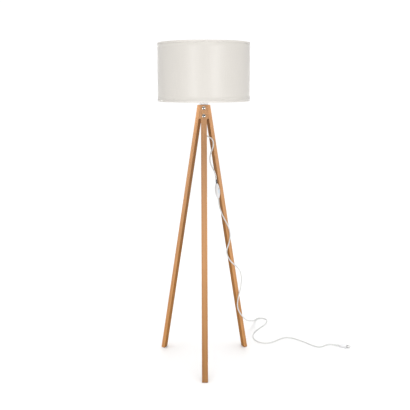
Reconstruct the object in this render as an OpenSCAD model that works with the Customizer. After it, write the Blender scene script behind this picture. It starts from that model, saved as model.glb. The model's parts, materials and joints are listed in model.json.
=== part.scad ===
// Tripod floor lamp: three leaning wooden legs bolted to a small wooden hub, a white lampholder
// on the hub's threaded tube, a white drum shade, and a white lead with a hand switch and a plug.
// The lamp's axis is Z, the floor is z = 0 and the front leg points along -Y.

/* [Stand] */
// Height of the hub's top, where the legs are cut off level
stand_top = 1229; // [1180:1:1260]
// Distance from the lamp's axis to the middle of each leg at the floor
foot_radius = 235; // [225:1:245]
// Distance from the lamp's axis to the middle of each leg at the stand's top
top_radius = 17.5; // [17.5:0.5:19]
// Width of a leg, across
leg_w = 27; // [24:1:27]
// Thickness of a leg, measured level
leg_t = 19; // [17:1:19]
// Rounding of a leg's long edges
leg_edge = 1.5; // [1:0.5:2.5]
// Height of the hub block
hub_h = 63; // [60:1:75]
// Thickness of the pad under each leg
pad_h = 2; // [1.5:0.5:4]

/* [Leg bolts] */
// Distance below the stand's top of the upper bolt of each leg
upper_bolt_drop = 13; // [12:0.5:15]
// Distance below the stand's top of the lower bolt of each leg
lower_bolt_drop = 48; // [46:0.5:50]
// Diameter of a bolt's flat head
bolt_head_d = 16; // [14:0.5:17]
// Height of a bolt's flat head
bolt_head_h = 2.4; // [2:0.1:3]

/* [Shade] */
// Outer diameter of the drum shade's fabric
shade_d = 420; // [400:5:440]
// Height of the drum shade
shade_h = 262; // [240:1:280]
// Height of the shade's lower edge above the stand's top
shade_gap = 17; // [15:0.5:18]
// Thickness of the shade's steel wire
wire_d = 3.5; // [3:0.5:4]

/* [Lampholder and bulb] */
// Outer diameter of the lampholder's cap
holder_d = 39; // [38:0.5:40]
// Diameter of the bulb's round top
bulb_d = 60; // [50:1:60]

/* [Lead] */
// Diameter of the round lead
cord_d = 6; // [5.5:0.1:6.2]
// Length of the hand switch's housing
switch_l = 70; // [66:1:74]
// Width of the hand switch's housing
switch_w = 24; // [22:1:26]
// Thickness of the hand switch's housing
switch_t = 18; // [17:1:20]

/* [Hidden] */
$fn = 96;
far = 400; // reach of a cutting block, past everything that it cuts
eps = 1; // overshoot of a cutting tool
fit = 0.05; // gap all round a part that fits in a bore

// Directions of the legs, counter-clockwise from +X
FRONT = 270;
RIGHT = 30;
LEFT = 150;
LEGS = [FRONT, RIGHT, LEFT];
lean = atan((foot_radius - top_radius) / stand_top);
leg_across = leg_t * cos(lean); // thickness of a leg, square to its length
function leg_radius(height) = foot_radius - (foot_radius - top_radius) * height / stand_top;
hub_bottom = stand_top - hub_h;
// Distance of the hub's narrow faces from the axis, so that its leg faces are as wide as the legs
function hub_relief(height) = (leg_radius(height) - leg_t / 2 + leg_w * sqrt(3) / 2) / 2;

pad_inset = 2; // from a leg's faces to its pad's edge
pad_corner_r = 2;

tube_r = 4.9; // outside of the threaded tube
tube_bore_r = 3.6;
tube_in_gland = 8;
tube_in_cap = 9;
tube_hole_r = tube_r + 0.2;
cord_r = cord_d / 2;
insert_r = 4.5;
bolt_r = 3;
bolt_hole_r = bolt_r + 0.25;
bolt_socket_w = 5.8; // across corners
bolt_socket_depth = 4;
upper_bolt_l = leg_across + 5;
lower_bolt_l = leg_across + 11;
head_edge = 0.8; // rounding of a bolt head's rim

washer_h = 1;
lower_washer_r = 10;
upper_washer_r = 15;
lock_nut_h = 3;
nut_across_flats = 14;
gland_top = hub_bottom - washer_h - lock_nut_h;
gland_l = 31;
gland_taper_l = 20;
gland_r = 8;
gland_neck_r = 7;
gland_tip_r = cord_r + 1.4;
gland_bottom = gland_top - gland_l;

cap_bottom = stand_top + washer_h;
cap_h = 20;
cap_wall = 1.8;
cap_floor_h = 2.2;
cap_neck_r = 8.5;
cap_neck_h = 11;
cap_corner = 3;
sleeve_bottom = cap_bottom + cap_h;
sleeve_shoulder = sleeve_bottom + 17; // the shade's fitter ring rests here
sleeve_top = sleeve_shoulder + 24;
holder_r = holder_d / 2;
sleeve_r = 17.5;
sleeve_bore_r = 15.7;
insulator_bottom = sleeve_bottom + 4;
insulator_floor = 5.5;
insulator_r = 15.5;
shell_r = 13.75; // outside of the screw shell
shell_bore_r = 13.28;
shell_bottom = insulator_bottom + insulator_floor + 1;
shell_top = sleeve_top - 6;
terminal_x = 9;
terminal_l = 5.9;
terminal_stem_r = 1.5;
bulb_cap_r = 13.2;

// The bulb, from its contact tip upwards
tip_bottom = insulator_bottom + insulator_floor + 1.5;
tip_h = 1.6;
bulb_insulator_h = 3;
bulb_cap_bottom = tip_bottom + tip_h + bulb_insulator_h;
bulb_cap_h = 23.4;
bulb_cap_wall = 0.5;
collar_bottom = bulb_cap_bottom + bulb_cap_h;
collar_h = 36;
collar_edge_r = 14.5;
globe_r = bulb_d / 2;
globe_wall = 1.2;
collar_top_r = globe_r - 2.5;
globe_bottom = collar_bottom + collar_h;
globe_middle = globe_bottom + sqrt(globe_r * globe_r - collar_top_r * collar_top_r);

shade_bottom = stand_top + shade_gap;
shade_top = shade_bottom + shade_h;
shade_r = shade_d / 2;
fabric_wall = 0.6;
lining_wall = 0.6;
skin_gap = 0.05;
trim_wall = 0.4;
trim_base = 0.5;
trim_h = 9;
wire_r = wire_d / 2;
lining_r = shade_r - fabric_wall - skin_gap;
ring_r = lining_r - lining_wall - 0.1 - wire_r;
ring_inset = trim_base + 0.1 + wire_r; // from a shade edge to the middle of its wire ring
trim_inner_r = ring_r - wire_r - 0.15;
fitter_r = 27;
fitter_h = 1.6;
fitter_z = sleeve_shoulder + fitter_h / 2;
arm_slope = 45;
arm_drop = fitter_z - (shade_bottom + ring_inset);
arm_bend_x = ring_r - arm_drop / tan(arm_slope);
clamp_bottom = sleeve_shoulder + fitter_h + 0.3;
clamp_r = 24;
clamp_flange_r = 25.5;
clamp_flange_h = 1.8;
clamp_h = 7.6;
clamp_bore_r = sleeve_r + 0.06;
clamp_grips = 30;
clamp_grip_r = 1.4;

// The hand switch lies in its own frame, its length along Z and its rocker facing -Y
switch_at = [63.5, 14, 825];
switch_tilt = -6;
switch_turn = 45;
switch_split = 1; // the plane between the housing's halves
switch_end_w = 9.2;
switch_end_t = 10;
switch_screw_z = 25; // from the switch's middle to each screw
switch_screw_r = 1.3;
switch_screw_l = 8.6;
switch_screw_head_r = 2.5;
relief_top_l = 20;
relief_bottom_l = 22;
relief_r = 3.8;
relief_tip_r = cord_r + 0.3;
rocker_l = 20;
rocker_w = 11;
rocker_pivot_y = -4;
rocker_tilt = 7; // the rocker rests tipped this far one way
rocker_pin_r = 1.4;
rocker_pin_reach = 7.3; // from the middle plane to a pin's end
rocker_side_room = 0.3;
rocker_end_room = 1; // the tipping rocker needs this much past each end
rocker_ridge = switch_t / 2 + 0.9 + rocker_pivot_y; // from its pivot to its outer corners
contact_l = 12;
function in_switch(z) = switch_at + z * [sin(switch_tilt), 0, cos(switch_tilt)];

// The plug lies flat on the floor, its length along its own X
plug_turn = -20;
plug_t = 13.6;
plug_relief_l = 25;
plug_l = 36;
plug_half_w = 13.5;
plug_tail_half_w = 6.5;
pin_r = 2;
pin_l = 19;
pin_root_l = 7.9;
pin_tip_l = 0.8;
pin_sleeve_l = 9;
pin_sleeve_wall = 0.35;
pin_spacing = 18.6;
plug_at = [662, 112, plug_t / 2]; // where the lead enters the plug's strain relief

// The lead's route. A point beside the right leg is given by its height, how far it lies
// outwards of the leg's middle and how far it lies across the leg, towards the lamp's back.
// The lead is a smooth B-spline that these points pull, so it cuts their corners.
function beside_leg(height, out, across) =
    let (r = leg_radius(height) + out)
    [r * cos(RIGHT) - across * sin(RIGHT), r * sin(RIGHT) + across * cos(RIGHT), height];
floor_z = cord_r + 0.2;
upper_route = [
    [0, 0, gland_bottom], [0, 0, 1110], [8, 0, 1085], [42, -3, 1076], [47, -5, 1040],
    [28, -3, 1004], [26, 0, 956], in_switch(88), in_switch(switch_l / 2 + relief_top_l)
];
lower_route = [
    in_switch(-switch_l / 2 - relief_bottom_l), in_switch(-80),
    beside_leg(690, -18, -20), beside_leg(640, 8, -20), beside_leg(590, 7, -20),
    beside_leg(548, -18, -24), beside_leg(506, -15, 15), beside_leg(464, -19, -25),
    beside_leg(430, 26, -21), beside_leg(385, 33, -27), beside_leg(325, 20, -24),
    beside_leg(250, -17, -19), beside_leg(200, -16, -22), beside_leg(156, 14, -26),
    [222, 184, 108], [252, 282, 62], [272, 350, 34], [284, 408, 12],
    [306, 466, floor_z], [364, 446, floor_z], [346, 378, floor_z], [288, 308, floor_z],
    [249, 235, floor_z], [268, 146, floor_z], [340, 132, floor_z], [408, 208, floor_z],
    [458, 208, floor_z], [526, 142, floor_z], [581, 74, floor_z], [624, 126, 4.5], plug_at
];
cord_sides = 8;
cord_steps = 2; // rings for each stretch of the route

function unit(v) = v / norm(v);
function curve_point(a, b, c, d, t) =
    (pow(1 - t, 3) * a + (3 * pow(t, 3) - 6 * t * t + 4) * b
    + (3 * t + 3 * t * t - 3 * pow(t, 3) + 1) * c + pow(t, 3) * d) / 6;
// The route goes on past each end in a straight line, so that the curve meets its end points
function smooth_route(p, steps) =
    let (
        last = len(p) - 1,
        q = concat([2 * p[0] - p[1]], p, [2 * p[last] - p[last - 1]])
    )
    [
        for (i = [0 : last - 1], k = [0 : steps - 1])
            curve_point(q[i], q[i + 1], q[i + 2], q[i + 3], k / steps),
        p[last]
    ];
function directions(p) =
    let (last = len(p) - 1)
    [for (i = [0 : last]) unit(p[min(i + 1, last)] - p[max(i - 1, 0)])];
function square_to(n, along) = unit(n - (n * along) * along);
// Each ring's sideways direction is the one before it, turned as little as the route allows
function sideways(along) = [
    for (
        i = 0, n = square_to([0, 1, 0], along[0]);
        i < len(along);
        i = i + 1, n = i < len(along) ? square_to(n, along[i]) : n
    ) n
];

module lead(route) {
    path = smooth_route(route, cord_steps);
    along = directions(path);
    side = sideways(along);
    rings = len(path);
    skin = [
        for (i = [0 : rings - 1], k = [0 : cord_sides - 1])
            path[i] + cord_r * (cos(360 * k / cord_sides) * side[i]
            + sin(360 * k / cord_sides) * cross(along[i], side[i]))
    ];
    ends = [
        [for (k = [0 : cord_sides - 1]) k],
        [for (k = [cord_sides - 1 : -1 : 0]) (rings - 1) * cord_sides + k]
    ];
    walls = [
        for (i = [0 : rings - 2], k = [0 : cord_sides - 1])
            let (next = (k + 1) % cord_sides, at = i * cord_sides)
            [at + k, at + cord_sides + k, at + cord_sides + next, at + next]
    ];
    polyhedron(points = skin, faces = concat(ends, walls));
}

module rounded_rect(x, y, r) {
    square([x - 2 * r, y], center = true);
    square([x, y - 2 * r], center = true);
    for (sx = [-1, 1], sy = [-1, 1])
        translate([sx * (x / 2 - r), sy * (y / 2 - r)]) circle(r);
}

module ring(outer_r, inner_r, bottom, height) {
    translate([0, 0, bottom])
        difference() {
            cylinder(r = outer_r, h = height);
            translate([0, 0, -eps]) cylinder(r = inner_r, h = height + 2 * eps);
        }
}

// Puts its children on a leg's outer face, with Z straight out of the wood
module on_leg_face(direction, height) {
    rotate([0, 0, direction])
        translate([leg_radius(height) + leg_t / 2, 0, height])
            rotate([0, 90 - lean, 0]) children();
}

module at_each_bolt(direction) {
    on_leg_face(direction, stand_top - upper_bolt_drop) children(0);
    on_leg_face(direction, stand_top - lower_bolt_drop) children(1);
}

module leg(direction) {
    color("burlywood")
        difference() {
            intersection() {
                rotate([0, 0, direction])
                    translate([foot_radius, 0, 0])
                        rotate([0, -lean, 0])
                            translate([0, 0, -leg_t])
                                linear_extrude(stand_top / cos(lean) + 2 * leg_t)
                                    rounded_rect(leg_across, leg_w, leg_edge);
                translate([-far, -far, pad_h]) cube([2 * far, 2 * far, stand_top - pad_h]);
            }
            at_each_bolt(direction) {
                translate([0, 0, -leg_t - eps]) cylinder(r = bolt_hole_r, h = leg_t + 2 * eps);
                translate([0, 0, -leg_t - eps]) cylinder(r = bolt_hole_r, h = leg_t + 2 * eps);
            }
        }
}

module foot_pad(direction) {
    color("dimgray")
        rotate([0, 0, direction])
            translate([leg_radius(pad_h), 0, 0])
                linear_extrude(pad_h)
                    rounded_rect(leg_t - 2 * pad_inset, leg_w - 2 * pad_inset, pad_corner_r);
}

module hub_block() {
    relief_lean = atan((hub_relief(hub_bottom) - hub_relief(stand_top)) / hub_h);
    color("burlywood")
        difference() {
            translate([0, 0, hub_bottom]) cylinder(r = 3 * leg_w, h = hub_h);
            for (direction = LEGS) {
                rotate([0, 0, direction])
                    translate([foot_radius - leg_t / 2, 0, 0])
                        rotate([0, -lean, 0])
                            translate([0, -far / 2, 0]) cube([far, far, stand_top * 2]);
                rotate([0, 0, direction + 60])
                    translate([hub_relief(stand_top), 0, stand_top])
                        rotate([0, -relief_lean, 0])
                            translate([0, -far / 2, -far / 2]) cube([far, far, far]);
                at_each_bolt(direction) {
                    translate([0, 0, -upper_bolt_l - 0.3]) cylinder(r = insert_r, h = upper_bolt_l);
                    translate([0, 0, -lower_bolt_l - 0.3]) cylinder(r = insert_r, h = lower_bolt_l);
                }
            }
            translate([0, 0, hub_bottom - eps]) cylinder(r = tube_hole_r, h = hub_h + 2 * eps);
        }
}

module leg_bolt(length) {
    difference() {
        union() {
            rotate_extrude() {
                square([bolt_head_d / 2 - head_edge, bolt_head_h]);
                square([bolt_head_d / 2, bolt_head_h - head_edge]);
                translate([bolt_head_d / 2 - head_edge, bolt_head_h - head_edge]) circle(head_edge);
            }
            translate([0, 0, -length]) cylinder(r = bolt_r, h = length);
        }
        translate([0, 0, bolt_head_h - bolt_socket_depth])
            cylinder(d = bolt_socket_w, h = bolt_socket_depth + eps, $fn = 6);
    }
}

module leg_bolts() {
    color("silver")
        for (direction = LEGS)
            at_each_bolt(direction) {
                leg_bolt(upper_bolt_l);
                leg_bolt(lower_bolt_l);
            }
}

module threaded_insert(bolt_l) {
    ring(insert_r - 0.02, bolt_r + fit, -bolt_l, bolt_l - leg_across - 0.1);
}

module threaded_inserts() {
    color("goldenrod")
        for (direction = LEGS)
            at_each_bolt(direction) {
                threaded_insert(upper_bolt_l);
                threaded_insert(lower_bolt_l);
            }
}

module threaded_tube() {
    bottom = gland_top - tube_in_gland;
    color("gainsboro") ring(tube_r, tube_bore_r, bottom, cap_bottom + tube_in_cap - bottom);
}

module hub_washers() {
    color("silver") {
        ring(lower_washer_r, tube_hole_r, hub_bottom - washer_h, washer_h);
        ring(upper_washer_r, tube_hole_r, stand_top, washer_h);
    }
}

module lock_nut() {
    color("silver")
        translate([0, 0, gland_top])
            difference() {
                cylinder(d = nut_across_flats / cos(30), h = lock_nut_h, $fn = 6);
                translate([0, 0, -eps]) cylinder(r = tube_r + fit, h = lock_nut_h + 2 * eps);
            }
}

module cord_gland() {
    socket_l = tube_in_gland + 0.2;
    color("white")
        translate([0, 0, gland_bottom])
            difference() {
                union() {
                    cylinder(r1 = gland_tip_r, r2 = gland_neck_r, h = gland_taper_l);
                    translate([0, 0, gland_taper_l])
                        cylinder(r = gland_r, h = gland_l - gland_taper_l);
                }
                translate([0, 0, -eps]) cylinder(r = cord_r + fit, h = gland_l + 2 * eps);
                translate([0, 0, gland_l - socket_l]) cylinder(r = tube_r + fit, h = socket_l + eps);
            }
}

module inner_lead() {
    color("white")
        translate([0, 0, gland_bottom]) cylinder(r = cord_r, h = sleeve_bottom - 4 - gland_bottom);
}

module lampholder_cap() {
    color("white")
        translate([0, 0, cap_bottom])
            difference() {
                rotate_extrude() {
                    square([holder_r - cap_corner, cap_h]);
                    translate([0, cap_corner]) square([holder_r, cap_h - cap_corner]);
                    translate([holder_r - cap_corner, cap_corner]) circle(cap_corner);
                }
                difference() {
                    translate([0, 0, cap_floor_h]) cylinder(r = holder_r - cap_wall, h = cap_h);
                    cylinder(r = cap_neck_r, h = cap_neck_h);
                }
                translate([0, 0, -eps]) cylinder(r = tube_r + fit, h = cap_neck_h + 2 * eps);
            }
}

module lampholder_sleeve() {
    color("white") {
        difference() {
            union() {
                translate([0, 0, sleeve_bottom])
                    cylinder(r = holder_r, h = sleeve_shoulder - sleeve_bottom);
                translate([0, 0, sleeve_bottom])
                    cylinder(r = sleeve_r, h = sleeve_top - sleeve_bottom);
            }
            translate([0, 0, sleeve_bottom - eps])
                cylinder(r = sleeve_bore_r, h = sleeve_top - sleeve_bottom + 2 * eps);
        }
    }
}

module socket_insulator() {
    color("ivory")
        difference() {
            translate([0, 0, insulator_bottom])
                cylinder(r = insulator_r, h = sleeve_top - 3 - insulator_bottom);
            translate([0, 0, insulator_bottom + insulator_floor])
                cylinder(r = shell_r + fit, h = far);
            for (side = [-1, 1])
                translate([terminal_x * side, 0, insulator_bottom - eps])
                    cylinder(r = terminal_stem_r + 0.1, h = far);
        }
}

module screw_shell() {
    color("gold") ring(shell_r, shell_bore_r, shell_bottom, shell_top - shell_bottom);
}

module centre_contact() {
    leaf_h = 0.6;
    color("gold")
        translate([0, 0, insulator_bottom + insulator_floor]) {
            translate([-3, -7, 0]) cube([6, 14, leaf_h]);
            translate([0, 0, leaf_h]) cylinder(r1 = 2.6, r2 = 1.6, h = 0.8);
        }
}

module socket_terminals() {
    color("gold")
        for (side = [-1, 1])
            translate([terminal_x * side, 0, insulator_bottom - terminal_l - 0.1]) {
                difference() {
                    translate([-2.5, -3, 0]) cube([5, 6, terminal_l]);
                    translate([0, -3 - eps, 2.5]) rotate([-90, 0, 0]) cylinder(r = 1, h = 6 + 2 * eps);
                }
                translate([0, 0, terminal_l]) cylinder(r = terminal_stem_r, h = insulator_floor);
            }
}

module shade_clamp_ring() {
    color("white")
        difference() {
            union() {
                translate([0, 0, clamp_bottom]) cylinder(r = clamp_r, h = clamp_h);
                translate([0, 0, clamp_bottom]) cylinder(r = clamp_flange_r, h = clamp_flange_h);
            }
            translate([0, 0, clamp_bottom - eps]) cylinder(r = clamp_bore_r, h = clamp_h + 2 * eps);
            for (i = [0 : clamp_grips - 1])
                rotate([0, 0, i * 360 / clamp_grips])
                    translate([clamp_r + 0.4, 0, clamp_bottom + clamp_flange_h])
                        cylinder(r = clamp_grip_r, h = clamp_h, $fn = 24);
        }
}

module fitter_ring() {
    color("white") ring(fitter_r, sleeve_r + 0.1, sleeve_shoulder, fitter_h);
}

module spider_arm() {
    knuckle_r = wire_r + 0.15;
    translate([0, 0, fitter_z]) {
        difference() {
            rotate([0, 90, 0]) cylinder(r = wire_r, h = arm_bend_x);
            translate([0, 0, -wire_d]) cylinder(r = fitter_r, h = 2 * wire_d);
        }
        translate([arm_bend_x, 0, 0]) {
            sphere(knuckle_r);
            rotate([0, 90 + arm_slope, 0]) cylinder(r = wire_r, h = arm_drop / sin(arm_slope));
        }
    }
}

module spider_arms() {
    color("white")
        for (direction = [90, 210, 330]) rotate([0, 0, direction]) spider_arm();
}

module wire_ring(height) {
    translate([0, 0, height]) rotate_extrude($fn = 180) translate([ring_r, 0]) circle(wire_r, $fn = 24);
}

module shade_ring_bottom() {
    color("white") wire_ring(shade_bottom + ring_inset);
}

module shade_ring_top() {
    color("white") wire_ring(shade_top - ring_inset);
}

module shade_lining() {
    color("white")
        ring(lining_r, lining_r - lining_wall, shade_bottom + trim_base + 0.1,
            shade_h - 2 * trim_base - 0.2, $fn = 180);
}

module shade_fabric() {
    color("whitesmoke")
        ring(shade_r, shade_r - fabric_wall, shade_bottom + trim_base + 0.1,
            shade_h - 2 * trim_base - 0.2, $fn = 180);
}

// A rolled edge: a band outside the fabric, a strip under the wire and a lip inside it
module trim(lip_h) {
    outer_r = shade_r + skin_gap;
    rotate_extrude($fn = 180) {
        translate([outer_r, 0]) square([trim_wall, trim_h]);
        translate([trim_inner_r - trim_wall, 0])
            square([outer_r - trim_inner_r + 2 * trim_wall, trim_base]);
        translate([trim_inner_r - trim_wall, 0]) square([trim_wall, lip_h]);
    }
}

module shade_trim_bottom() {
    color("antiquewhite") translate([0, 0, shade_bottom]) trim(1.6);
}

module shade_trim_top() {
    color("antiquewhite") translate([0, 0, shade_top]) mirror([0, 0, 1]) trim(7);
}

module bulb_tip() {
    color("silver") translate([0, 0, tip_bottom]) cylinder(r1 = 3.4, r2 = 4.4, h = tip_h);
}

module bulb_insulator() {
    color("darkslategray")
        translate([0, 0, tip_bottom + tip_h])
            cylinder(r1 = 6, r2 = bulb_cap_r - bulb_cap_wall, h = bulb_insulator_h);
}

module bulb_cap() {
    color("silver") ring(bulb_cap_r, bulb_cap_r - bulb_cap_wall, bulb_cap_bottom, bulb_cap_h);
}

module bulb_collar() {
    color("white") {
        translate([0, 0, bulb_cap_bottom])
            cylinder(r = bulb_cap_r - bulb_cap_wall - 0.05, h = bulb_cap_h);
        translate([0, 0, collar_bottom]) cylinder(r1 = collar_edge_r, r2 = collar_top_r, h = collar_h);
    }
}

module bulb_globe() {
    color("floralwhite")
        difference() {
            translate([0, 0, globe_middle]) sphere(globe_r);
            translate([0, 0, globe_middle]) sphere(globe_r - globe_wall);
            translate([-far / 2, -far / 2, globe_bottom - far]) cube([far, far, far]);
        }
}

module cord_upper() {
    color("white") lead(upper_route);
}

module cord_lower() {
    color("white") lead(lower_route);
}

module in_switch_frame() {
    translate(switch_at) rotate([0, switch_tilt, 0]) rotate([0, 0, switch_turn]) children();
}

// A bar along Z whose sides bow out to a half width, and are that much narrower at its ends
module bowed_outline(length, half, end_half) {
    sag = half - end_half;
    bow_r = (length * length / 4 + sag * sag) / (2 * sag);
    intersection() {
        square([4 * half, length], center = true);
        translate([bow_r - half, 0]) circle(bow_r, $fn = 180);
        translate([half - bow_r, 0]) circle(bow_r, $fn = 180);
    }
}

module switch_shape() {
    intersection() {
        rotate([90, 0, 0])
            translate([0, 0, -switch_w])
                linear_extrude(2 * switch_w) bowed_outline(switch_l, switch_w / 2, switch_end_w / 2);
        rotate([90, 0, 90])
            translate([0, 0, -switch_w])
                linear_extrude(2 * switch_w) bowed_outline(switch_l, switch_t / 2, switch_end_t / 2);
    }
}

module switch_screw_holes(r) {
    for (end = [-1, 1])
        translate([0, switch_split - 5, end * switch_screw_z])
            rotate([-90, 0, 0]) cylinder(r = r, h = switch_t);
}

module switch_housing_front() {
    color("white")
        in_switch_frame()
            difference() {
                switch_shape();
                translate([-far / 2, switch_split, -far / 2]) cube([far, far, far]);
                translate([0, -switch_t / 2, 0])
                    cube([rocker_w + 2 * rocker_side_room, 2 * switch_t + eps,
                        rocker_l + 2 * rocker_end_room], center = true);
                translate([0, rocker_pivot_y, 0])
                    rotate([0, 90, 0])
                        cylinder(r = rocker_pin_r + 0.06, h = 2 * (rocker_pin_reach + 0.3), center = true);
                switch_screw_holes(switch_screw_r + fit);
            }
}

module switch_housing_back() {
    color("white")
        in_switch_frame()
            difference() {
                switch_shape();
                translate([-far / 2, switch_split - far, -far / 2]) cube([far, far, far]);
                translate([-7, switch_split - eps, -16]) cube([14, 4.5 + eps, 32]);
                switch_screw_holes(switch_screw_r + fit);
                for (end = [-1, 1])
                    translate([0, switch_split + 4, end * switch_screw_z])
                        rotate([-90, 0, 0]) cylinder(r = switch_screw_head_r + 0.1, h = switch_t);
            }
}

module switch_rocker() {
    foot_y = 1.5;
    foot_half_l = rocker_l / 2 - 2.5;
    color("lightsteelblue")
        in_switch_frame()
            translate([0, rocker_pivot_y, 0])
                rotate([rocker_tilt, 0, 0]) {
                    rotate([90, 0, 90])
                        translate([0, 0, -rocker_w / 2])
                            linear_extrude(rocker_w)
                                polygon([
                                    [-rocker_ridge, -rocker_l / 2],
                                    [0.9 - rocker_ridge, 0],
                                    [-rocker_ridge, rocker_l / 2],
                                    [foot_y, foot_half_l],
                                    [foot_y, -foot_half_l]
                                ]);
                    rotate([0, 90, 0])
                        cylinder(r = rocker_pin_r, h = 2 * rocker_pin_reach, center = true);
                }
}

module switch_contacts() {
    color("gold")
        in_switch_frame()
            for (end = [-1, 1])
                translate([-2.5, switch_split + 3.6, end * 9 - contact_l / 2]) cube([5, 0.8, contact_l]);
}

module switch_screws() {
    color("silver")
        in_switch_frame()
            for (end = [-1, 1])
                translate([0, switch_split - 4.5, end * switch_screw_z])
                    rotate([-90, 0, 0]) {
                        cylinder(r = switch_screw_r, h = switch_screw_l);
                        translate([0, 0, switch_screw_l]) cylinder(r = switch_screw_head_r, h = 1.3);
                    }
}

module switch_relief_top() {
    color("dimgray")
        in_switch_frame()
            translate([0, 0, switch_l / 2]) cylinder(r1 = relief_r, r2 = relief_tip_r, h = relief_top_l);
}

module switch_relief_bottom() {
    color("white")
        in_switch_frame()
            translate([0, 0, -switch_l / 2 - relief_bottom_l])
                cylinder(r1 = relief_tip_r, r2 = relief_r, h = relief_bottom_l);
}

module in_plug_frame() {
    translate(plug_at) rotate([0, 0, plug_turn]) children();
}

module plug_relief() {
    color("white")
        in_plug_frame()
            rotate([0, 90, 0]) cylinder(r1 = relief_tip_r, r2 = 4.6, h = plug_relief_l);
}

module plug_body() {
    color("white")
        in_plug_frame()
            translate([plug_relief_l, 0, -plug_t / 2])
                difference() {
                    linear_extrude(plug_t)
                        polygon([
                            [0, -plug_tail_half_w], [9, 1.5 - plug_half_w],
                            [plug_l - 5, -plug_half_w], [plug_l, 1.5 - plug_half_w],
                            [plug_l, plug_half_w - 1.5], [plug_l - 5, plug_half_w],
                            [9, plug_half_w - 1.5], [0, plug_tail_half_w]
                        ]);
                    for (side = [-1, 1])
                        translate([plug_l - pin_root_l - 0.1, side * pin_spacing / 2, plug_t / 2])
                            rotate([0, 90, 0]) cylinder(r = pin_r, h = pin_root_l + 0.1 + eps);
                }
}

module plug_pins() {
    color("silver")
        in_plug_frame()
            for (side = [-1, 1])
                translate([plug_relief_l + plug_l - pin_root_l, side * pin_spacing / 2, 0])
                    rotate([0, 90, 0]) {
                        cylinder(r = pin_r - pin_sleeve_wall, h = pin_root_l + pin_sleeve_l);
                        translate([0, 0, pin_root_l + pin_sleeve_l])
                            cylinder(r = pin_r, h = pin_l - pin_sleeve_l - pin_tip_l);
                        translate([0, 0, pin_root_l + pin_l - pin_tip_l])
                            cylinder(r1 = pin_r, r2 = pin_r - pin_tip_l, h = pin_tip_l);
                    }
}

module plug_pin_sleeves() {
    color("dimgray")
        in_plug_frame()
            for (side = [-1, 1])
                translate([plug_relief_l + plug_l - pin_root_l, side * pin_spacing / 2, 0])
                    rotate([0, 90, 0])
                        ring(pin_r, pin_r - pin_sleeve_wall, 0, pin_root_l + pin_sleeve_l);
}

leg(FRONT);  // leg_front
leg(RIGHT);  // leg_right
leg(LEFT);  // leg_left
foot_pad(FRONT);  // foot_pad_front
foot_pad(RIGHT);  // foot_pad_right
foot_pad(LEFT);  // foot_pad_left
hub_block();
leg_bolts();
threaded_inserts();
threaded_tube();
hub_washers();
lock_nut();
cord_gland();
inner_lead();
lampholder_cap();
lampholder_sleeve();
socket_insulator();
screw_shell();
centre_contact();
socket_terminals();
shade_clamp_ring();
fitter_ring();
spider_arms();
shade_ring_bottom();
shade_ring_top();
shade_lining();
shade_fabric();
shade_trim_bottom();
shade_trim_top();
bulb_tip();
bulb_insulator();
bulb_cap();
bulb_collar();
bulb_globe();
cord_upper();
switch_relief_top();
switch_housing_front();
switch_housing_back();
switch_rocker();
switch_contacts();
switch_screws();
switch_relief_bottom();
cord_lower();
plug_relief();
plug_body();
plug_pins();
plug_pin_sleeves();
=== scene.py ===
"""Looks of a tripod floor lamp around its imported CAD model, in metres, +Z up, front along -Y."""

import json
from math import atan, cos, pi, radians, sin, sqrt

import bmesh
import bpy
from mathutils import Matrix, Vector


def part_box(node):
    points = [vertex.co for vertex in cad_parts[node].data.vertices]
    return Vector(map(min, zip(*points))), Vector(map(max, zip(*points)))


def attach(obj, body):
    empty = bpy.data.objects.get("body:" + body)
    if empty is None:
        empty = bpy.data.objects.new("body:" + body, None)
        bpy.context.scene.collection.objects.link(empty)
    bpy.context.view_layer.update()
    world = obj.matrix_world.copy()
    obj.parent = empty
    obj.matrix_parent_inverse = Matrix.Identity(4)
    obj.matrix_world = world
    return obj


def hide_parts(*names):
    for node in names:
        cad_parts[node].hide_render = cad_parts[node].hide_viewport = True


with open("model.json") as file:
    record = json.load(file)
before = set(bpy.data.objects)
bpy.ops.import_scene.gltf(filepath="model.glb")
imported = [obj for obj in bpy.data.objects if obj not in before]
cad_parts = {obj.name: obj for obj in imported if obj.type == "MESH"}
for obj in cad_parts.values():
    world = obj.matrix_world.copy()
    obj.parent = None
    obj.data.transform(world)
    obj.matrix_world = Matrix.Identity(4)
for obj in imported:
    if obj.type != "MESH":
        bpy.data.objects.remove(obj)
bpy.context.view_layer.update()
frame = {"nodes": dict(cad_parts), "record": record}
CAD = frame["nodes"]

# The stand, as part.scad has it
STAND_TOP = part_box("leg_front")[1].z
FOOT_RADIUS = 0.235
TOP_RADIUS = 0.0175
LEG_SLOPE = (FOOT_RADIUS - TOP_RADIUS) / STAND_TOP
LEAN = atan(LEG_SLOPE)
FRONT, RIGHT, LEFT = radians(270), radians(30), radians(150)
BACK = radians(90)

# The lead, its switch and its plug, as part.scad has them
LEAD_DIAMETER = 0.006
LEAD_EXIT = Vector((0, 0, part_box("cord_gland")[0].z))
FLOOR_LEAD = LEAD_DIAMETER / 2 + 0.0002
SWITCH_FRAME = (
    Matrix.Translation((0.0635, 0.014, 0.825))
    @ Matrix.Rotation(radians(-6), 4, "Y")
    @ Matrix.Rotation(radians(45), 4, "Z")
)
SWITCH_LENGTH = 0.070
RELIEF_TOP = 0.020
RELIEF_BOTTOM = 0.022
PLUG_AT = Vector((0.662, 0.112, 0.0068))
PLUG_FRAME = Matrix.Translation(PLUG_AT) @ Matrix.Rotation(radians(-20), 4, "Z")


# ---------------------------------------------------------------- camera

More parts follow.
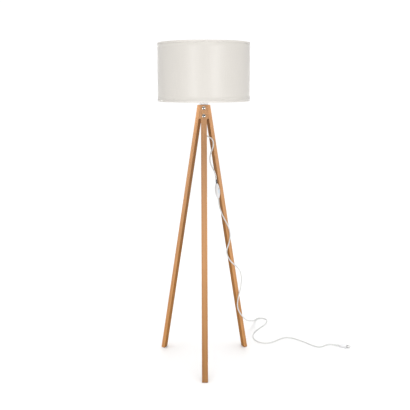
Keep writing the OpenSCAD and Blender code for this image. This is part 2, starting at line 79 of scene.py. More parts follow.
def make_camera():
    """A camera level with the lower half of the shade, tipped down a little."""
    data = bpy.data.cameras.new("camera")
    data.lens = 50.41
    data.sensor_width = 36
    data.shift_x = 0.0025
    data.shift_y = -0.10
    camera = bpy.data.objects.new("camera", data)
    turned = Matrix.Rotation(radians(-0.43), 4, "Z")
    pitched = Matrix.Rotation(radians(90 - 8.13), 4, "X")
    rolled = Matrix.Rotation(radians(-0.17), 4, "Z")
    camera.matrix_world = Matrix.Translation((-0.0198, -2.648, 1.333)) @ turned @ pitched @ rolled
    bpy.context.scene.collection.objects.link(camera)
    bpy.context.scene.camera = camera


# ---------------------------------------------------------------- materials

MIX_A, MIX_B, MIX_RESULT = 6, 7, 2  # a Mix node's sockets when it mixes colours


class Look:
    """A principled material, and the nodes that vary its colour, roughness and relief."""

    def __init__(self, name, colour, roughness, **sockets):
        self.material = bpy.data.materials.new(name)
        self.material.use_nodes = True
        self.tree = self.material.node_tree
        self.shader = self.tree.nodes["Principled BSDF"]
        self.colour = (*colour, 1)
        self.shader.inputs["Base Color"].default_value = self.colour
        self.shader.inputs["Roughness"].default_value = roughness
        for socket, value in sockets.items():
            self.shader.inputs[socket.replace("_", " ")].default_value = value

    def node(self, kind, **settings):
        made = self.tree.nodes.new("ShaderNode" + kind)
        for name, value in settings.items():
            setattr(made, name, value)
        return made

    def feed(self, value, socket):
        """Links value to socket if it is a socket itself, and sets it otherwise."""
        if isinstance(value, bpy.types.NodeSocket):
            self.tree.links.new(value, socket)
        else:
            socket.default_value = value

    def position(self, coordinate="Object"):
        return self.node("TexCoord").outputs[coordinate]

    def mapped(self, vector, scale=(1, 1, 1), rotation=(0, 0, 0), vector_type="POINT"):
        made = self.node("Mapping", vector_type=vector_type)
        made.inputs["Rotation"].default_value = rotation
        made.inputs["Scale"].default_value = scale
        self.feed(vector, made.inputs["Vector"])
        return made.outputs["Vector"]

    def noise(self, vector, scale=1.0, detail=3.0, roughness=0.5):
        made = self.node("TexNoise")
        self.feed(vector, made.inputs["Vector"])
        made.inputs["Scale"].default_value = scale
        made.inputs["Detail"].default_value = detail
        made.inputs["Roughness"].default_value = roughness
        return made.outputs["Fac"]

    def between(self, value, low, high, to_low=0.0, to_high=1.0):
        """value from low..high to to_low..to_high, held at the ends."""
        made = self.node("MapRange", clamp=True)
        for socket, number in zip(range(5), (value, low, high, to_low, to_high)):
            self.feed(number, made.inputs[socket])
        return made.outputs["Result"]

    def math(self, operation, a, b=0.0):
        made = self.node("Math", operation=operation)
        self.feed(a, made.inputs[0])
        self.feed(b, made.inputs[1])
        return made.outputs["Value"]

    def mixed(self, factor, a, b):
        made = self.node("Mix", data_type="RGBA")
        self.feed(factor, made.inputs["Factor"])
        self.feed(a, made.inputs[MIX_A])
        self.feed(b, made.inputs[MIX_B])
        return made.outputs[MIX_RESULT]

    def paint(self, colour):
        self.feed(colour, self.shader.inputs["Base Color"])

    def roughen(self, factor, low, high):
        self.feed(self.between(factor, 0.3, 0.7, low, high), self.shader.inputs["Roughness"])

    def relief(self, *layers):
        """Bump layers, each a height and the distance in metres that it stands for."""
        normal = None
        for height, distance in layers:
            made = self.node("Bump")
            made.inputs["Strength"].default_value = 1.0
            made.inputs["Distance"].default_value = distance
            self.feed(height, made.inputs["Height"])
            if normal is not None:
                self.feed(normal, made.inputs["Normal"])
            normal = made.outputs["Normal"]
        self.feed(normal, self.shader.inputs["Normal"])


def shaded(colour, factor):
    """colour made lighter or darker by factor, with the alpha that a socket wants."""
    return (*[c * factor for c in colour[:3]], 1)


OUTER_PAINTED_SHADE, INNER_PAINTED_SHADE = 0.85, 0.62  # painted shade on a leg's outer and inner faces: how light they are, to its sides
INNER_SHADE_WARMTH = 1.25  # how much stronger the inner faces' colour is under their painted shade


def wood(name, colour, turn, lean, painted_light_by_height):
    """Lacquered wood whose grain runs along a leg that leans by lean towards turn.

    The last argument is painted light and shade along the leg: how light it is at the floor, halfway
    up and at the stand's top."""
    at_floor, at_middle, at_top = painted_light_by_height
    look = Look(name, colour, 0.45, Specular_IOR_Level=0.25, Coat_Weight=0.03, Coat_Roughness=0.30)
    along = look.mapped(look.position(), rotation=(0, -lean, turn), vector_type="TEXTURE")
    bands = look.noise(look.mapped(along, scale=(45, 70, 1.1)), detail=3)
    lines = look.noise(look.mapped(along, scale=(520, 520, 7)), detail=4, roughness=0.6)
    pores = look.noise(look.mapped(along, scale=(1900, 1900, 75)), detail=2)
    toned = look.mixed(look.between(bands, 0.36, 0.66), shaded(colour, 1.06), shaded(colour, 0.86))
    lined = look.mixed(look.between(lines, 0.45, 0.80, 0, 0.55), toned, shaded(colour, 0.62))
    pored = look.mixed(look.between(pores, 0.62, 0.74, 0, 0.45), lined, shaded(colour, 0.42))
    height = look.node("SeparateXYZ")
    look.feed(look.position(), height.inputs[0])
    low_down = look.between(height.outputs["Z"], 0.0, 0.09, 1.0, 0.0)
    scuffs = look.noise(look.position(), scale=160, detail=5, roughness=0.7)
    scuffed = look.math("MULTIPLY", low_down, look.between(scuffs, 0.50, 0.68, 0, 0.55))
    worn = look.mixed(scuffed, pored, shaded(colour, 0.55))
    # Painted shade: each leg's outer and inner faces are darkened, and the inner ones warmed, by
    # which way they face.
    facing = look.node("SeparateXYZ")
    outwards = look.mapped(look.position("Normal"), rotation=(0, 0, turn), vector_type="TEXTURE")
    look.feed(outwards, facing.inputs[0])
    outer = look.between(facing.outputs["X"], 0.60, 0.80, 1.0, OUTER_PAINTED_SHADE)
    inner = look.between(facing.outputs["X"], -0.80, -0.60, INNER_PAINTED_SHADE, 1.0)
    # Painted light and shade along the leg, from the numbers given for the floor, halfway up and the
    # top; the side legs' tops are lit up to offset the shadow that the shade casts there.
    painted_light_low = look.between(height.outputs["Z"], 0.0, STAND_TOP / 2, at_floor, at_middle)
    painted_light_high = look.between(height.outputs["Z"], STAND_TOP / 2, STAND_TOP, 1.0, at_top / at_middle)
    painted_height_light = look.math("MULTIPLY", painted_light_low, painted_light_high)
    wood_with_painted_light = look.node("HueSaturation")
    painted_light_and_shade = look.math("MULTIPLY", painted_height_light, look.math("MULTIPLY", outer, inner))
    look.feed(painted_light_and_shade, wood_with_painted_light.inputs["Value"])
    low_warmth = look.between(height.outputs["Z"], 0.1, 0.9, 1.07, 0.96)
    inner_shade_warmth = look.between(facing.outputs["X"], -0.80, -0.60, INNER_SHADE_WARMTH, 1.0)
    look.feed(look.math("MULTIPLY", low_warmth, inner_shade_warmth), wood_with_painted_light.inputs["Saturation"])
    look.feed(worn, wood_with_painted_light.inputs["Color"])
    end_grain = look.between(look.math("ABSOLUTE", facing.outputs["Z"]), 0.70, 0.90, 0, 0.55)
    look.paint(look.mixed(end_grain, wood_with_painted_light.outputs["Color"], shaded(colour, 0.60)))
    look.roughen(lines, 0.38, 0.56)
    look.relief((lines, 0.00012), (look.between(pores, 0.60, 0.75, 1, 0), 0.00010))
    return look.material


def plastic(name, colour, roughness=0.38, grain=2600, relief=0.00003, **sockets):
    """Moulded plastic: a fine spark-eroded grain, with slightly uneven tone and gloss."""
    look = Look(name, colour, roughness, **sockets)
    cloud = look.noise(look.position(), scale=55, detail=4)
    spark = look.noise(look.position(), scale=grain, detail=2, roughness=0.7)
    look.paint(look.mixed(look.between(cloud, 0.35, 0.65), shaded(colour, 0.955), look.colour))
    look.roughen(cloud, roughness - 0.05, roughness + 0.07)
    look.relief((spark, relief))
    return look.material


def metal(name, colour, roughness, tarnish=0.80):
    """Plated or bare metal: satin, with fine turning marks and a little tarnish."""
    look = Look(name, colour, roughness, Metallic=1.0)
    cloud = look.noise(look.position(), scale=140, detail=5, roughness=0.65)
    marks = look.noise(look.mapped(look.position(), scale=(900, 900, 5200)), detail=2)
    look.paint(look.mixed(look.between(cloud, 0.42, 0.72), look.colour, shaded(colour, tarnish)))
    look.roughen(cloud, roughness * 0.7, roughness * 1.5)
    look.relief((marks, 0.00002))
    return look.material


def enamel(name, colour):
    """Powder-coated wire: satin with a faint orange peel."""
    look = Look(name, colour, 0.36)
    peel = look.noise(look.position(), scale=900, detail=2)
    cloud = look.noise(look.position(), scale=60, detail=3)
    look.paint(look.mixed(look.between(cloud, 0.35, 0.65), shaded(colour, 0.95), look.colour))
    look.roughen(peel, 0.30, 0.44)
    look.relief((peel, 0.00006))
    return look.material


def felt(name, colour):
    """Pressed felt: short matted fibres with a dull sheen."""
    look = Look(name, colour, 0.92, Sheen_Weight=0.4, Sheen_Roughness=0.5)
    fibres = look.noise(look.position(), scale=1500, detail=5, roughness=0.75)
    look.paint(look.mixed(look.between(fibres, 0.35, 0.70), shaded(colour, 1.2), shaded(colour, 0.6)))
    look.relief((fibres, 0.0005))
    return look.material


def cloth(name, colour, thread, relief):
    """Plain-woven satin cloth: crossing threads with painted shade between them, slubs along both,
    and a soft sheen.
    """
    look = Look(
        name, colour, 0.36, Specular_IOR_Level=0.30,
        Sheen_Weight=0.55, Sheen_Roughness=0.28,
    )
    uv = look.position("UV")
    across = look.node("SeparateXYZ")
    look.feed(uv, across.inputs[0])
    turns = pi / thread
    warp = look.math("SINE", look.math("MULTIPLY", across.outputs["X"], turns))
    weft = look.math("SINE", look.math("MULTIPLY", across.outputs["Y"], turns))
    warp_on_top = look.math("GREATER_THAN", look.math("MULTIPLY", warp, weft), 0.0)
    warp_round = look.math("MULTIPLY", look.math("ABSOLUTE", warp), warp_on_top)
    weft_share = look.math("SUBTRACT", 1.0, warp_on_top)
    weft_round = look.math("MULTIPLY", look.math("ABSOLUTE", weft), weft_share)
    weave = look.math("ADD", warp_round, weft_round)
    upright = look.noise(look.mapped(uv, scale=(900, 14, 1)), detail=3, roughness=0.6)
    level = look.noise(look.mapped(uv, scale=(16, 1100, 1)), detail=3, roughness=0.6)
    drift = look.noise(look.mapped(uv, scale=(9, 5, 1)), detail=2)
    slubs = look.math("MULTIPLY", look.between(upright, 0.30, 0.72), look.between(level, 0.25, 0.75))
    threads = look.mixed(slubs, shaded(colour, 0.945), shaded(colour, 1.045))
    # Painted shade in the gaps between the threads.
    painted_gap_shade = look.mixed(look.between(weave, 0.0, 0.5, 0.16, 0.0), threads, shaded(colour, 0.72))
    look.paint(look.mixed(look.between(drift, 0.35, 0.65, 0.0, 0.25), painted_gap_shade, shaded(colour, 0.97)))
    look.roughen(upright, 0.33, 0.42)
    look.relief((weave, relief), (slubs, relief * 0.8))
    return look.material


def laminate(name, colour):
    """The shade's lining: a thin plastic film with a faint vertical draw."""
    look = Look(name, colour, 0.42)
    draw = look.noise(look.mapped(look.position(), scale=(140, 140, 3)), detail=3)
    fleck = look.noise(look.position(), scale=700, detail=2)
    look.paint(look.mixed(look.between(draw, 0.3, 0.7), shaded(colour, 0.96), look.colour))
    look.roughen(fleck, 0.36, 0.50)
    look.relief((draw, 0.00010), (fleck, 0.00002))
    return look.material


def opal(name, colour):
    """The bulb's milky diffuser."""
    look = Look(
        name, colour, 0.30, Subsurface_Weight=0.35, Subsurface_Scale=0.004,
        Subsurface_Radius=(1, 1, 1), Coat_Weight=0.25, Coat_Roughness=0.12,
    )
    cloud = look.noise(look.position(), scale=40, detail=3)
    grain = look.noise(look.position(), scale=1800, detail=2)
    look.paint(look.mixed(look.between(cloud, 0.3, 0.7), shaded(colour, 0.97), look.colour))
    look.roughen(cloud, 0.26, 0.36)
    look.relief((grain, 0.00002))
    return look.material


def vinyl(name, colour):
    """The lead's sheath: soft PVC with a faint drawn line and a little dust."""
    look = Look(name, colour, 0.46, Specular_IOR_Level=0.45)
    dust = look.noise(look.position(), scale=38, detail=5, roughness=0.65)
    skin = look.noise(look.position(), scale=1400, detail=3)
    look.paint(look.mixed(look.between(dust, 0.50, 0.75, 0, 0.8), look.colour, shaded(colour, 0.90)))
    look.roughen(dust, 0.40, 0.56)
    look.relief((skin, 0.00006))
    return look.material


def pale_floor(name, colour):
    """A studio's pale matt floor."""
    look = Look(name, colour, 0.85, Specular_IOR_Level=0.1)
    cloud = look.noise(look.position(), scale=1.5, detail=3)
    grain = look.noise(look.position(), scale=220, detail=3)
    look.paint(look.mixed(look.between(cloud, 0.3, 0.7), shaded(colour, 0.985), look.colour))
    look.roughen(cloud, 0.80, 0.90)
    look.relief((grain, 0.00005))
    return look.material


WOOD_TONE = (0.460, 0.232, 0.098)
MATERIALS = {
    # The three numbers of each wood are painted light and shade along its leg, at the floor, halfway
    # up and at the top.
    "front_wood": wood("front_wood", WOOD_TONE, FRONT, LEAN, (0.95, 1.31, 1.12)),
    "right_wood": wood("right_wood", WOOD_TONE, RIGHT, LEAN, (1.30, 1.17, 1.45)),
    "left_wood": wood("left_wood", WOOD_TONE, LEFT, LEAN, (1.36, 1.17, 1.56)),
    "hub_wood": wood("hub_wood", WOOD_TONE, FRONT, 0, (1.25, 1.25, 1.25)),
    "felt": felt("felt", (0.30, 0.21, 0.14)),
    "nickel": metal("nickel", (0.36, 0.355, 0.345), 0.09),
    # Near-black steel that paints shade inside the bolts' hex sockets.
    "socket_steel": metal("socket_steel", (0.10, 0.10, 0.10), 0.40),
    "brass": metal("brass", (0.78, 0.58, 0.27), 0.30),
    "white_plastic": plastic("white_plastic", (0.79, 0.79, 0.80)),
    "rocker_plastic": plastic("rocker_plastic", (0.70, 0.77, 0.83), 0.28),
    "dark_plastic": plastic("dark_plastic", (0.11, 0.11, 0.11), 0.45),
    "ceramic": plastic("ceramic", (0.76, 0.73, 0.68), 0.25, 700, 0.00004),
    "white_wire": enamel("white_wire", (0.80, 0.80, 0.79)),
    "shade_cloth": cloth("shade_cloth", (0.700, 0.670, 0.625), 0.0008, 0.000022),
    # The rolled edges' cloth is the drum's own cloth, painted a little lighter to offset the shading
    # of the rolled band.
    "lit_edge_cloth": cloth("lit_edge_cloth", (0.712, 0.682, 0.636), 0.0008, 0.00003),
    "lining": laminate("lining", (0.84, 0.83, 0.80)),
    "opal": opal("opal", (0.90, 0.89, 0.86)),
    "vinyl": vinyl("vinyl", (0.66, 0.66, 0.65)),
    "floor": pale_floor("floor", (0.96, 0.96, 0.96)),
}
LOOK_OF_SLOT = {
    "pad": "felt", "bolt_steel": "nickel", "brass": "brass", "white_plastic": "white_plastic",
    "rocker_plastic": "rocker_plastic", "dark_plastic": "dark_plastic",
    "ceramic_white": "ceramic", "white_wire": "white_wire", "shade_fabric": "shade_cloth",
    "shade_lining": "lining", "shade_trim": "lit_edge_cloth", "opal_glass": "opal",
    "white_cord": "vinyl",
}
WOOD_OF_NODE = {
    "leg_front": "front_wood", "leg_right": "right_wood",
    "leg_left": "left_wood", "hub_block": "hub_wood",
}


def finish_cad_nodes():
    """Gives every CAD node the material of its slot, and the wooden ones their own grain."""
    for part in frame["record"]["subparts"]:
        look = WOOD_OF_NODE.get(part["node"]) or LOOK_OF_SLOT[part["material_slot"]]
        CAD[part["node"]].data.materials.clear()
        CAD[part["node"]].data.materials.append(MATERIALS[look])


def soften_edges(node, width, angle=radians(40)):
    """Rounds a CAD node's sharp edges with modifiers, which leave its mesh as it is."""
    weld = CAD[node].modifiers.new("weld", "WELD")
    weld.merge_threshold = 0.000005
    bevel = CAD[node].modifiers.new("bevel", "BEVEL")
    bevel.width = width
    bevel.segments = 2
    bevel.limit_method = "ANGLE"
    bevel.angle_limit = angle
    bevel.harden_normals = True


# ---------------------------------------------------------------- building pieces

def add_piece(name, data, looks, replaces=(), body="root", place=None):
    """looks are its materials' names, in the order of its faces' material indices."""
    piece = bpy.data.objects.new(name, data)
    bpy.context.scene.collection.objects.link(piece)
    if place is not None:
        data.transform(place)
    for look in looks.split():
        data.materials.append(MATERIALS[look])
    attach(piece, body)
    if replaces:
        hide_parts(*replaces)
    return piece


def new_mesh(name, points, faces, smooth=True):
    mesh = bpy.data.meshes.new(name)
    mesh.from_pydata([tuple(p) for p in points], [], faces)
    if smooth:
        mesh.polygons.foreach_set("use_smooth", [True] * len(mesh.polygons))
    mesh.update()
    return mesh


def as_mesh(name, made):
    """A new mesh from a bmesh, which is freed."""
    mesh = bpy.data.meshes.new(name)
    made.to_mesh(mesh)
    made.free()
    return mesh


def tube_faces(rings, sides, closed):
    """Quads between rings of points; closed joins the last ring to the first."""
    faces = []
    for i in range(rings if closed else rings - 1):
        near, far = i * sides, (i + 1) % rings * sides
        for k in range(sides):
            after = (k + 1) % sides
            faces.append((near + k, near + after, far + after, far + k))
    return faces


def turned(name, profile, sides=96, closed=True, wobble=None, angles=None):
    """A mesh turned about Z: profile is a list of (radius, height), in order round its outline.

    wobble(angle, radius, height) gives a radius to add. UVs are metres round and along."""
    angles = angles or [2 * pi * k / sides for k in range(sides)]
    count = len(angles)
    points = []
    for radius, height in profile:
        for angle in angles:
            r = radius + (wobble(angle, radius, height) if wobble else 0)
            points.append((r * cos(angle), r * sin(angle), height))
    mesh = new_mesh(name, points, tube_faces(len(profile), count, closed))
    reach = max(radius for radius, height in profile)
    along = [0.0]
    for (r0, z0), (r1, z1) in zip(profile, profile[1:] + profile[:1]):
        along.append(along[-1] + sqrt((r1 - r0) ** 2 + (z1 - z0) ** 2))
    uv = mesh.uv_layers.new(name="metres")
    turns = angles + [angles[0] + 2 * pi]
    for face in range(len(mesh.polygons)):
        i, k = divmod(face, count)
        corners = ((k, i), (k + 1, i), (k + 1, i + 1), (k, i + 1))
        for loop, (a, s) in zip(mesh.polygons[face].loop_indices, corners):
            uv.data[loop].uv = (turns[a] * reach, along[s])
    return mesh


def superellipse(half_x, half_y, power, sides):
    """Points round a squarish oval, from a circle at power 2 to a rectangle."""
    ring = []
    for k in range(sides):
        c, s = cos(2 * pi * (k + 0.5) / sides), sin(2 * pi * (k + 0.5) / sides)
        x = half_x * abs(c) ** (2 / power) * (1 if c > 0 else -1)
        y = half_y * abs(s) ** (2 / power) * (1 if s > 0 else -1)
        ring.append((x, y))
    return ring


def lofted(name, stations, sides=64):
    """A closed mesh along Z from (height, half width, half thickness, power) stations."""
    points = []
    for height, half_x, half_y, power in stations:
        points += [(x, y, height) for x, y in superellipse(half_x, half_y, power, sides)]
    faces = tube_faces(len(stations), sides, closed=False)
    faces.append(tuple(reversed(range(sides))))
    faces.append(tuple((len(stations) - 1) * sides + k for k in range(sides)))
    return new_mesh(name, points, faces)


def with_modifiers(mesh, *modifiers):
    """The mesh that those (type, settings) modifiers make of it."""
    holder = bpy.data.objects.new("holder", mesh)
    bpy.context.scene.collection.objects.link(holder)
    for kind, settings in modifiers:
        modifier = holder.modifiers.new(kind.lower(), kind)
        for setting, value in settings.items():
            setattr(modifier, setting, value)
    graph = bpy.context.evaluated_depsgraph_get()
    made = bpy.data.meshes.new_from_object(holder.evaluated_get(graph))
    bpy.data.objects.remove(holder)
    made.name = mesh.name + "_made"
    return made


def bevelled(mesh, width, segments=3, angle=radians(35)):
    """mesh with its edges rounded where they are sharper than angle."""
    settings = {
        "width": width, "segments": segments, "limit_method": "ANGLE",
        "angle_limit": angle, "harden_normals": True,
    }
    return with_modifiers(mesh, ("BEVEL", settings))


def cut_out(mesh, cutter):
    """mesh with the cutter mesh taken away."""
    tool = bpy.data.objects.new("cutter", cutter)
    bpy.context.scene.collection.objects.link(tool)
    made = with_modifiers(mesh, ("BOOLEAN", {"object": tool, "operation": "DIFFERENCE"}))
    bpy.data.objects.remove(tool)
    return made


def cut_by_plane(mesh, at, outward):
    """The part of a closed mesh that lies behind a plane, closed again."""
    made = bmesh.new()
    made.from_mesh(mesh)
    everything = list(made.verts) + list(made.edges) + list(made.faces)
    cut = bmesh.ops.bisect_plane(
        made, geom=everything, plane_co=at, plane_no=outward, clear_outer=True
    )
    rim = [e for e in cut["geom_cut"] if isinstance(e, bmesh.types.BMEdge)]
    bmesh.ops.edgenet_fill(made, edges=rim)
    return as_mesh(mesh.name + "_half", made)


def boxes(name, *specs):
    """Boxes as one mesh, each from its lowest and highest corner."""
    made = bmesh.new()
    for low, high in specs:
        size = Vector(high) - Vector(low)
        middle = Matrix.Translation((Vector(high) + Vector(low)) / 2)
        bmesh.ops.create_cube(made, size=1, matrix=middle @ Matrix.Diagonal((*size, 1)))
    return as_mesh(name, made)


# ---------------------------------------------------------------- the lead

def beside_leg(height, out, across):
    """A point beside the right leg: outwards of its middle, and across it towards the back."""
    r = FOOT_RADIUS - LEG_SLOPE * height + out
    return (r * cos(RIGHT) - across * sin(RIGHT), r * sin(RIGHT) + across * cos(RIGHT), height)


def in_switch(height):
    """A point on the hand switch's long axis, height above its middle."""
    return tuple(SWITCH_FRAME @ Vector((0, 0, height)))


UPPER_ROUTE = [
    tuple(LEAD_EXIT), (0, 0, 1.110), (0.008, 0, 1.085), (0.042, -0.003, 1.076),
    (0.047, -0.005, 1.040), (0.028, -0.003, 1.004), (0.026, 0, 0.956), in_switch(0.088),
    in_switch(SWITCH_LENGTH / 2 + RELIEF_TOP),
]
LOWER_ROUTE = [
    in_switch(-SWITCH_LENGTH / 2 - RELIEF_BOTTOM), in_switch(-0.080),
    beside_leg(0.690, -0.018, -0.020), beside_leg(0.640, 0.008, -0.020),
    beside_leg(0.590, 0.007, -0.020), beside_leg(0.548, -0.018, -0.024),
    beside_leg(0.506, -0.015, 0.015), beside_leg(0.464, -0.019, -0.025),
    beside_leg(0.430, 0.026, -0.021), beside_leg(0.385, 0.033, -0.027),
    beside_leg(0.325, 0.020, -0.024), beside_leg(0.250, -0.017, -0.019),
    beside_leg(0.200, -0.016, -0.022), beside_leg(0.156, 0.014, -0.026),
    (0.222, 0.184, 0.108), (0.252, 0.282, 0.062), (0.272, 0.350, 0.034),
    (0.284, 0.408, 0.012), (0.306, 0.466, FLOOR_LEAD), (0.364, 0.446, FLOOR_LEAD),
    (0.346, 0.378, FLOOR_LEAD), (0.288, 0.308, FLOOR_LEAD), (0.249, 0.235, FLOOR_LEAD),
    (0.268, 0.146, FLOOR_LEAD), (0.340, 0.132, FLOOR_LEAD), (0.408, 0.208, FLOOR_LEAD),
    (0.458, 0.208, FLOOR_LEAD), (0.526, 0.142, FLOOR_LEAD), (0.581, 0.074, FLOOR_LEAD),
    (0.624, 0.126, 0.0045), tuple(PLUG_AT),
]


def spline_knots(route):
    """The Bezier knots (handle, point, handle) of the B-spline that a route's points pull."""
    p = [Vector(point) for point in route]
    p = [2 * p[0] - p[1]] + p + [2 * p[-1] - p[-2]]
    return [
        ((a + 2 * b) / 3, (a + 4 * b + c) / 6, (2 * b + c) / 3)
        for a, b, c in zip(p, p[1:], p[2:])
    ]


def make_lead():
    """One curve from the gland, through the switch, down the right leg and over the floor."""
    upper, lower = spline_knots(UPPER_ROUTE), spline_knots(LOWER_ROUTE)
    through = (lower[0][1] - upper[-1][1]) / 3
    upper[-1] = (upper[-1][0], upper[-1][1], upper[-1][1] + through)
    lower[0] = (lower[0][1] - through, lower[0][1], lower[0][2])
    curve = bpy.data.curves.new("lead", "CURVE")
    curve.dimensions = "3D"
    curve.bevel_depth = LEAD_DIAMETER / 2
    curve.bevel_resolution = 5
    curve.resolution_u = 14
    curve.use_fill_caps = True
    spline = curve.splines.new("BEZIER")
    knots = upper + lower
    spline.bezier_points.add(len(knots) - 1)
    for point, (before, at, after) in zip(spline.bezier_points, knots):
        point.handle_left_type = point.handle_right_type = "FREE"
        point.handle_left, point.co, point.handle_right = before, at, after
    return add_piece("lead", curve, "vinyl", ("cord_upper", "cord_lower"))


# ---------------------------------------------------------------- the hand switch

SWITCH_HALF_W, SWITCH_END_W = 0.012, 0.0048
SWITCH_HALF_T, SWITCH_END_T = 0.009, 0.0050
SWITCH_ROUNDING = 0.0022  # of the housing's end faces
SPLIT_Y = 0.001  # the plane between the housing's halves
SPLIT_GAP = 0.00012
SCREW_Z, SCREW_WELL_R, SCREW_WELL_HALF = 0.025, 0.0026, 0.010
ROCKER_PIVOT = Vector((0, -0.004, 0))
ROCKER_TILT = radians(7)
ROCKER_HALF_L, ROCKER_HALF_W = 0.010, 0.0055
ROCKER_RIDGE, ROCKER_DIP = 0.0059, 0.0009  # how far its ends stand up, and its middle sinks
ROCKER_FOOT_Y, ROCKER_FOOT_HALF_L = 0.0013, 0.0073
GRIP_FROM, GRIP_TO, GRIP_RIB = 0.50, 0.90, 0.00022  # its ribs, as shares of its half length
SEAM_ROUNDING = 0.00035


def switch_body():
    """The whole housing: an oval bar that narrows to both ends, with rounded end faces."""
    half = SWITCH_LENGTH / 2
    steps, end_steps = 28, 4
    straight = SWITCH_LENGTH - 2 * SWITCH_ROUNDING
    stations = []
    for i in range(steps + 1):
        stations.append((-half + SWITCH_ROUNDING + straight * i / steps, 1.0))
    for k in range(1, end_steps + 1):
        turn = k / end_steps * pi / 2
        z = half - SWITCH_ROUNDING + SWITCH_ROUNDING * sin(turn)
        shrink = 1 - 0.30 * (1 - cos(turn))
        stations.append((z, shrink))
        stations.insert(0, (-z, shrink))
    rings = []
    for z, shrink in stations:
        share = (z / half) ** 2
        half_w = SWITCH_HALF_W - (SWITCH_HALF_W - SWITCH_END_W) * share
        half_t = SWITCH_HALF_T - (SWITCH_HALF_T - SWITCH_END_T) * share
        rings.append((z, half_w * shrink, half_t * shrink, 2.9 - 0.5 * share))
    return lofted("switch_body", rings)


def rocker_mesh():
    """The rocker about its pivot: a saddle-backed key with three grip ribs at each end."""
    steps = 40
    outline = []
    for i in range(steps + 1):
        z = -ROCKER_HALF_L + 2 * ROCKER_HALF_L * i / steps
        share = z / ROCKER_HALF_L
        y = -ROCKER_RIDGE + ROCKER_DIP * (1 - share * share)
        if GRIP_FROM < abs(share) < GRIP_TO:
            along = (abs(share) - GRIP_FROM) / (GRIP_TO - GRIP_FROM)
            y += GRIP_RIB * (1 - cos(along * 6 * pi))
        outline.append((y, z))
    outline += [(ROCKER_FOOT_Y, ROCKER_FOOT_HALF_L), (ROCKER_FOOT_Y, -ROCKER_FOOT_HALF_L)]
    count = len(outline)
    points = [(side * ROCKER_HALF_W, y, z) for side in (-1, 1) for y, z in outline]
    faces = [
        (k, (k + 1) % count, count + (k + 1) % count, count + k) for k in range(count)
    ]
    faces.append(tuple(reversed(range(count))))
    faces.append(tuple(range(count, 2 * count)))
    made = bmesh.new()
    made.from_mesh(new_mesh("rocker_block", points, faces))
    bmesh.ops.recalc_face_normals(made, faces=made.faces)
    return bevelled(as_mesh("rocker", made), 0.00045, angle=radians(50))


def screw_wells():
    """Two round holes for the housing's screws, as one mesh to cut with."""
    profile = [
        (0, -SCREW_WELL_HALF), (SCREW_WELL_R, -SCREW_WELL_HALF),
        (SCREW_WELL_R, SCREW_WELL_HALF), (0, SCREW_WELL_HALF),
    ]
    well = turned("well", profile, 32, False)
    made = bmesh.new()
    for z in (-SCREW_Z, SCREW_Z):
        placed = well.copy()
        placed.transform(Matrix.Translation((0, 0.015, z)) @ Matrix.Rotation(-pi / 2, 4, "X"))
        made.from_mesh(placed)
    bmesh.ops.remove_doubles(made, verts=made.verts, dist=1e-7)
    bmesh.ops.recalc_face_normals(made, faces=made.faces)
    return as_mesh("wells", made)


def tapered_relief(name, length, base_r, tip_r, grooves):
    """A flexible sleeve along Z that tapers from its base at z = 0, with grooves round it."""
    bore = LEAD_DIAMETER / 2 - 0.0001
    wall = 0.0003
    profile = [(bore, 0)]
    steps = 12 * grooves
    for i in range(steps + 1):
        share = i / steps
        r = base_r + (tip_r - base_r) * share ** 0.8
        in_groove = 0.35 < share * grooves % 1 < 0.80 and 0.06 < share < 0.97
        depth = 0.62 * (r - bore - wall) if in_groove else 0
        profile.append((r - depth, length * share))
    profile.append((bore, length))
    return turned(name, profile, sides=48)


def make_switch():
    """The housing's halves, the rocker and the two sleeves, all of which go with the lead."""
    whole = switch_body()
    split = Vector((0, SPLIT_Y, 0))
    gap = Vector((0, SPLIT_GAP, 0))
    front = cut_by_plane(whole, split - gap, (0, 1, 0))
    pocket = boxes("pocket", ((-0.0059, -0.020, -0.0110), (0.0059, 0.020, 0.0110)))
    front = bevelled(cut_out(front, pocket), SEAM_ROUNDING)
    back = cut_by_plane(whole, split + gap, (0, -1, 0))
    back = bevelled(cut_out(back, screw_wells()), SEAM_ROUNDING)
    tipped = SWITCH_FRAME @ Matrix.Translation(ROCKER_PIVOT) @ Matrix.Rotation(ROCKER_TILT, 4, "X")
    half = SWITCH_LENGTH / 2 - 0.0004
    above = SWITCH_FRAME @ Matrix.Translation((0, 0, half))
    below = SWITCH_FRAME @ Matrix.Translation((0, 0, -half)) @ Matrix.Rotation(pi, 4, "X")
    top = tapered_relief("relief_top", RELIEF_TOP, 0.0040, 0.0034, 5)
    bottom = tapered_relief("relief_bottom", RELIEF_BOTTOM, 0.0040, 0.0034, 5)
    rocker = add_piece(
        "switch_key", rocker_mesh(), "rocker_plastic",
        ("switch_rocker",), "rocker", tipped,
    )
    return [
        add_piece("switch_front", front, "white_plastic",
                  ("switch_housing_front",), place=SWITCH_FRAME),
        add_piece("switch_back", back, "white_plastic",
                  ("switch_housing_back",), place=SWITCH_FRAME),
        rocker,
        add_piece("switch_sleeve_top", top, "dark_plastic",
                  ("switch_relief_top",), place=above),
        add_piece("switch_sleeve_bottom", bottom, "vinyl",
                  ("switch_relief_bottom",), place=below),
        CAD["switch_contacts"],
        CAD["switch_screws"],
    ]


# ---------------------------------------------------------------- the plug

PLUG_RELIEF = 0.025
PLUG_LENGTH = 0.036
PLUG_HALF_W, PLUG_TAIL_HALF_W = 0.0135, 0.0062
PLUG_HALF_T, PLUG_TAIL_HALF_T = 0.0068, 0.0052
PLUG_ROUNDING = 0.0015  # of its face's edge
PLUG_CHAMFER = 0.0012  # how far the tail's chamfer reaches
RIBS_FROM, RIBS_TO, RIB_DEPTH = 0.36, 0.76, 0.00055  # the finger grips, as shares of its length


